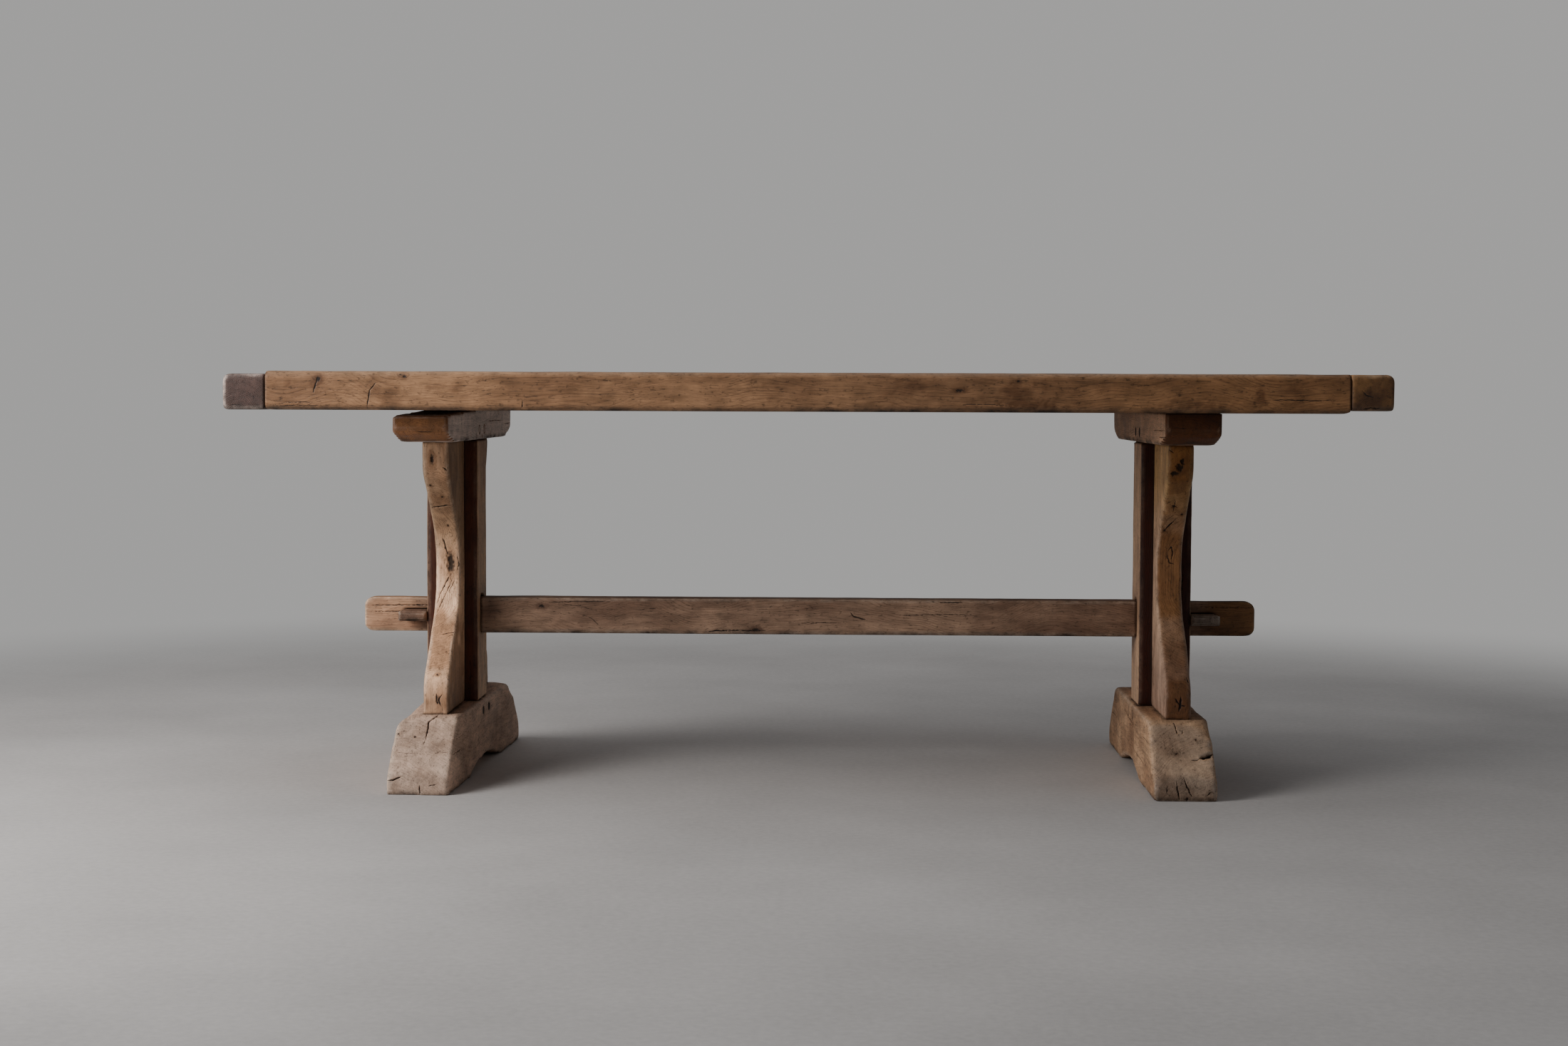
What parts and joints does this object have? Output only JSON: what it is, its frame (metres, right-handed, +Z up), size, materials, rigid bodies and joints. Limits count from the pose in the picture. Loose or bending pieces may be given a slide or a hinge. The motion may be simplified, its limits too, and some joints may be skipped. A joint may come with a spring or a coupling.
{
  "type": "trestle dining table",
  "caption": "Long oak dining table with a thick plank top on two shaped trestles, joined low down by a through-tenon stretcher held with loose wedges.",
  "frame": {"origin": "on the floor, below the centre of the top", "axes": "+X along the table, +Y from its front edge to its back edge, +Z up"},
  "size_m": [2.064, 0.9, 0.77],
  "materials": {
    "oak_top": "aged oiled oak, mottled",
    "oak_cleat": "aged oak, dark and worn smooth",
    "oak_frame": "aged oak, dry and pale",
    "oak_post": "aged oak, dark red-brown",
    "oak_foot": "aged oak, dry, greyish and checked",
    "oak_stretcher": "aged oak, reddish brown",
    "oak_wedge": "rough hewn oak",
    "oak_peg": "dark oak end grain",
    "oak_inner": "unfinished oak"
  },
  "bodies": {
    "frame": {"top_dowels_left": "oak_inner", "cap_left": "oak_frame", "cap_pegs_left": "oak_peg", "centre_post_left": "oak_post", "foot_left": "oak_foot", "foot_pegs_left": "oak_peg", "wing_front_left": "oak_frame", "wing_back_left": "oak_frame", "top_dowels_right": "oak_inner", "cap_right": "oak_frame", "cap_pegs_right": "oak_peg", "centre_post_right": "oak_post", "foot_right": "oak_foot", "foot_pegs_right": "oak_peg", "wing_front_right": "oak_frame", "wing_back_right": "oak_frame", "stretcher": "oak_stretcher"},
    "top": {"top_plank_front": "oak_top", "top_plank_mid_front": "oak_top", "top_plank_mid_back": "oak_top", "top_plank_back": "oak_top", "tongue_front": "oak_inner", "tongue_middle": "oak_inner", "tongue_back": "oak_inner", "end_cleat_left": "oak_cleat", "cleat_pegs_left": "oak_peg", "end_cleat_right": "oak_cleat", "cleat_pegs_right": "oak_peg"},
    "wedge_left": {"wedge_left": "oak_wedge"},
    "wedge_right": {"wedge_right": "oak_wedge"}
  },
  "joints": [
    {"name": "top_lift", "type": "slide", "parent": "frame", "child": "top", "axis": [0, 0, 1], "range_m": [0, 0.06]},
    {"name": "wedge_left_slide", "type": "slide", "parent": "frame", "child": "wedge_left", "axis": [0, -1, 0], "range_m": [0, 0.1]},
    {"name": "wedge_right_slide", "type": "slide", "parent": "frame", "child": "wedge_right", "axis": [0, -1, 0], "range_m": [0, 0.1]}
  ]
}
